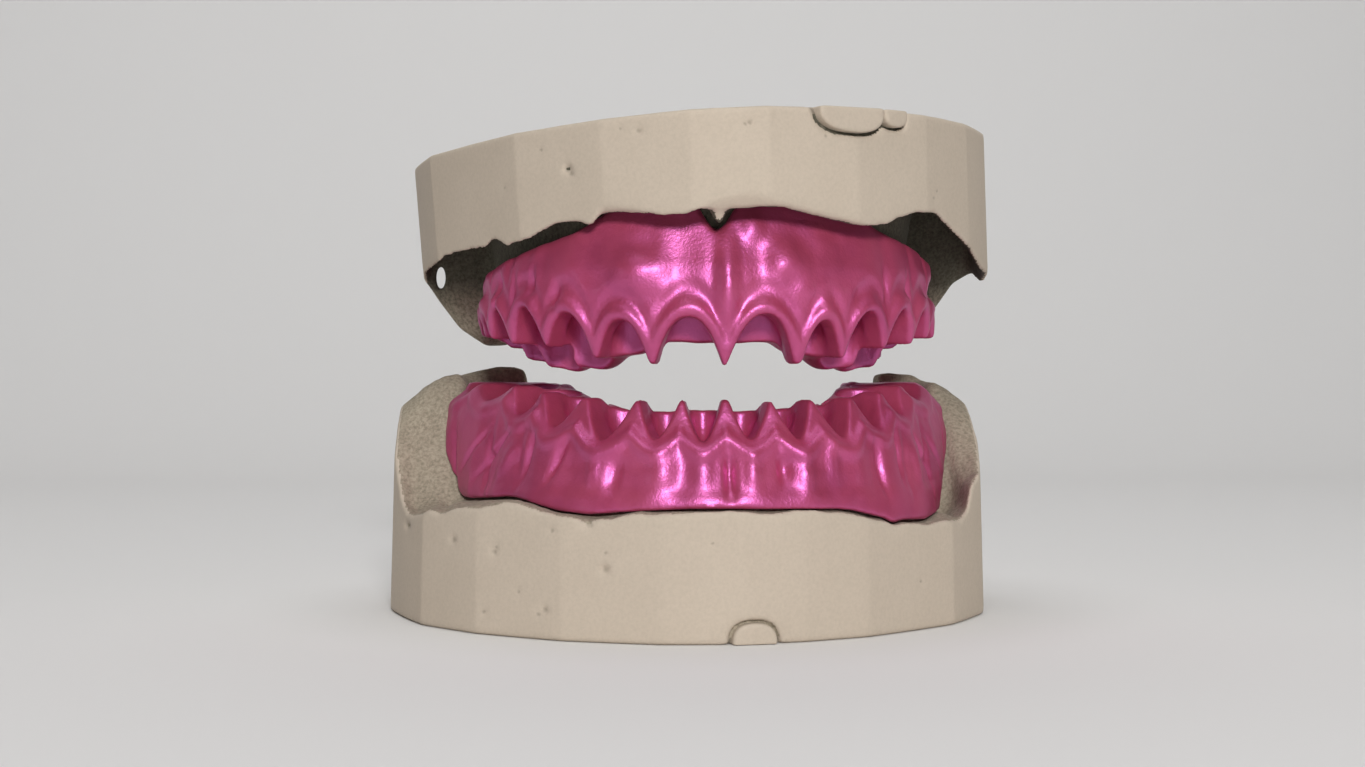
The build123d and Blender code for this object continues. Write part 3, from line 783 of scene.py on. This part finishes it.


def wall_pit_and_seam_shade(nodes, links, place, pits, beads):
    """Strength of the painted shade: 1 in the seam round a bead, less in a pit and 0 elsewhere, with uneven
    edges.
    """
    wander = noise_node(nodes, links, place, 1300, 2)
    shift = vector_node(nodes, "MULTIPLY_ADD", wander.outputs["Color"], (SHADE_EDGE_WANDER * MM,) * 3)
    links.new(place.outputs["Object"], shift.inputs[2])
    flat = vector_node(nodes, "MULTIPLY", shift.outputs["Vector"], (1, 0, 1))
    centre = SHADE_EDGE_WANDER / 2
    total = None
    for across, height, radius in pits:
        middle = ((across + centre) * MM, 0, (height + centre) * MM)
        gap = vector_node(nodes, "DISTANCE", flat.outputs["Vector"], middle)
        pit = falling(nodes, links, gap.outputs["Value"], 0.2 * radius * MM, 1.1 * radius * MM, PIT_SHADE_STRENGTH)
        total = larger(nodes, links, total, pit)
    for across, forward, height, turn, half_width, half_height in beads:
        moved = vector_node(nodes, "SUBTRACT", shift.outputs["Vector"],
                            ((across + centre) * MM, (forward + centre) * MM, (height + centre) * MM))
        turned = nodes.new("ShaderNodeMapping")
        turned.inputs["Rotation"].default_value = (0, 0, -turn)
        links.new(moved.outputs["Vector"], turned.inputs["Vector"])
        sized = vector_node(nodes, "MULTIPLY", turned.outputs["Vector"],
                            (1 / (half_width * MM), 0, 1 / (half_height * MM)))
        length = vector_node(nodes, "LENGTH", sized.outputs["Vector"])
        ring = nodes.new("ShaderNodeMath")
        ring.operation = "SUBTRACT"
        links.new(length.outputs["Value"], ring.inputs[0])
        ring.inputs[1].default_value = 1.04
        size = nodes.new("ShaderNodeMath")
        size.operation = "ABSOLUTE"
        links.new(ring.outputs["Value"], size.inputs[0])
        width = SEAM_SHADE_WIDTH / half_height
        on_ring = falling(nodes, links, size.outputs["Value"], 0.3 * width, width)
        forward_part = nodes.new("ShaderNodeSeparateXYZ")
        links.new(turned.outputs["Vector"], forward_part.inputs["Vector"])
        behind = falling(nodes, links, forward_part.outputs["Y"], SEAM_SHADE_DEPTH[0] * MM, SEAM_SHADE_DEPTH[1] * MM)
        on_wall = nodes.new("ShaderNodeMath")
        on_wall.operation = "MULTIPLY"
        links.new(on_ring, on_wall.inputs[0])
        links.new(behind, on_wall.inputs[1])
        total = larger(nodes, links, total, on_wall.outputs["Value"])
    return total


def vector_node(nodes, operation, source, value=None):
    node = nodes.new("ShaderNodeVectorMath")
    node.operation = operation
    node.id_data.links.new(source, node.inputs[0])
    if value is not None:
        node.inputs[1].default_value = value
    return node


def falling(nodes, links, source, full, none, strength=1.0):
    """strength up to full, 0 from none on."""
    node = nodes.new("ShaderNodeMapRange")
    node.inputs["From Min"].default_value = full
    node.inputs["From Max"].default_value = none
    node.inputs["To Min"].default_value = strength
    node.inputs["To Max"].default_value = 0
    links.new(source, node.inputs["Value"])
    return node.outputs["Result"]


def larger(nodes, links, first, second):
    if first is None:
        return second
    node = nodes.new("ShaderNodeMath")
    node.operation = "MAXIMUM"
    links.new(first, node.inputs[0])
    links.new(second, node.inputs[1])
    return node.outputs["Value"]


GUM_TONES = ((0.31, 0.038, 0.072), (0.39, 0.052, 0.096), (0.46, 0.074, 0.124))
GUM_ROUGHNESS = ((0.3, (0.37, 0.37, 0.37)), (0.7, (0.46, 0.46, 0.46)))


def gum_material():
    """Gum-coloured acrylic: deep pink, faintly mottled, with soft grainy magenta highlights."""
    material, nodes, links, main = shader("denture_pink")
    place = nodes.new("ShaderNodeTexCoord")
    cloud = noise_node(nodes, links, place, 140, 5, 0.6)
    ripple = noise_node(nodes, links, place, 420, 3, 0.55)
    grain = noise_node(nodes, links, place, 2600, 2, 0.6)
    color = ramp_node(nodes, links, cloud.outputs["Fac"], list(zip((0.28, 0.52, 0.8), GUM_TONES)))
    links.new(color.outputs["Color"], main.inputs["Base Color"])
    shine = ramp_node(nodes, links, ripple.outputs["Fac"], GUM_ROUGHNESS)
    links.new(shine.outputs["Color"], main.inputs["Roughness"])
    main.inputs["IOR"].default_value = 2.2
    main.inputs["Specular IOR Level"].default_value = 0.9
    main.inputs["Specular Tint"].default_value = (1.0, 0.26, 0.78, 1)
    main.inputs["Coat Weight"].default_value = 0.08
    main.inputs["Coat Roughness"].default_value = 0.18
    wide = bump_node(nodes, links, ripple.outputs["Fac"], 0.14, 0.00035)
    fine = bump_node(nodes, links, grain.outputs["Fac"], 0.55, 0.00008, wide)
    links.new(fine.outputs["Normal"], main.inputs["Normal"])
    return material


# ---------------------------------------------------------------- stage
def backdrop():
    """One pale sheet: a floor that curves up far behind the object."""
    profile = [(-4.0, 0.0), (0.35, 0.0)]
    profile += [(0.35 + 0.3 * sin(turn), 0.3 - 0.3 * cos(turn)) for turn in np.linspace(0.08, pi / 2, 20)]
    profile += [(0.65, 1.2)]
    corners = []
    faces = []
    for number, (y, z) in enumerate(profile):
        corners += [(-4.0, y, z), (4.0, y, z)]
        if number:
            first = 2 * number - 2
            faces.append((first, first + 1, first + 3, first + 2))
    mesh = bpy.data.meshes.new("backdrop")
    mesh.from_pydata(corners, [], faces)
    for polygon in mesh.polygons:
        polygon.use_smooth = True
    obj = bpy.data.objects.new("backdrop", mesh)
    bpy.context.collection.objects.link(obj)
    material, nodes, links, main = shader("pale_sheet")
    main.inputs["Base Color"].default_value = (0.80, 0.79, 0.78, 1)
    main.inputs["Roughness"].default_value = 0.9
    mesh.materials.append(material)


def area_light(name, place, target, size, power):
    data = bpy.data.lights.new(name, "AREA")
    data.shape = "DISK"
    data.size = size
    data.energy = power
    obj = bpy.data.objects.new(name, data)
    obj.location = place
    obj.rotation_euler = (Vector(target) - Vector(place)).to_track_quat("-Z", "Y").to_euler()
    bpy.context.collection.objects.link(obj)


def lights():
    """A soft light above the lens, weak ones at the sides, and one for the backdrop."""
    centre = (0.0, -0.02, 0.033)
    area_light("key", (0.05, -0.97, 0.38), centre, 0.20, 7.3)
    area_light("side_left", (-0.80, -0.30, 0.18), centre, 0.10, 0.15)
    area_light("side_right", (0.80, -0.28, 0.18), centre, 0.10, 0.10)
    area_light("backdrop_wash", (0.0, 0.0, 1.1), (0.0, 0.55, 0.1), 0.8, 5.0)
    world = bpy.data.worlds.new("soft_room")
    world.use_nodes = True
    world.node_tree.nodes["Background"].inputs["Color"].default_value = (0.95, 0.96, 1.0, 1)
    world.node_tree.nodes["Background"].inputs["Strength"].default_value = 0.05
    bpy.context.scene.world = world
    bpy.context.scene.view_settings.view_transform = "Standard"


def camera():
    """Level camera at mid height, a little to the left of the midline."""
    data = bpy.data.cameras.new("camera")
    data.lens = 50
    data.sensor_width = 36
    data.clip_start = 0.005
    obj = bpy.data.objects.new("camera", data)
    obj.location = (-0.0190, -0.2649, 0.03155)
    obj.rotation_euler = Vector((0.061, 0.998, 0)).to_track_quat("-Z", "Y").to_euler()
    bpy.context.collection.objects.link(obj)
    bpy.context.scene.camera = obj


camera()
lights()
backdrop()
# painted shade in the upper sulcus under the lip: the stone grows darker from 43 mm up to 46.5 mm
SULCUS_PAINTED_SHADE = (43.0, 46.5, (0.33, 0.35, 0.34))        # from, to, tone
TRIMMED_FINISH = (TRIMMED_TONES, (0.93, 0.93, 0.925), 0.10, 0.18)
# the trimmed wall materials carry painted shade in their pits and bead seams
lower_trimmed = stone_material("dental_stone_lower", *TRIMMED_FINISH, pits=LOWER_PITS, beads=[LOWER_BEAD])
upper_trimmed = stone_material("dental_stone_upper", *TRIMMED_FINISH, pits=UPPER_PITS,
                               beads=UPPER_BEADS.values())
drop = stone_material("dental_stone", *TRIMMED_FINISH)
moulded = stone_material("dental_stone_moulded", MOULDED_TONES, (0.60, 0.60, 0.58), 0.6, 0.9)
# the sulcus material also carries painted shade: a darker grain than the moulded stone, and the height-wise
# painted shade set just above
sulcus = stone_material("dental_stone_sulcus_painted_shade", MOULDED_TONES, (0.45, 0.45, 0.44), 0.6, 0.9, SULCUS_PAINTED_SHADE)
gum = gum_material()
LARGE_PIECES = ((lower_cast, "lower_cast", (lower_trimmed, moulded), lower_cast_faces),
                (upper_cast, "upper_cast", (upper_trimmed, moulded, sulcus), upper_cast_faces),
                (lower_denture_base, "lower_denture_base", (gum,), None),
                (upper_denture_base, "upper_denture_base", (gum,), None))
for maker, node, materials, choose in LARGE_PIECES:
    grid, field = maker()
    meshed(node + "_detailed", field, grid, node, node, materials, choose)
bead("lower_bead_detailed", "lower_cast_stone_bead", "lower_cast", LOWER_BEAD, (drop,), lower_bottom)
for node, shape in UPPER_BEADS.items():
    bead(node + "_detailed", node, "upper_cast", shape, (drop,), upper_top)
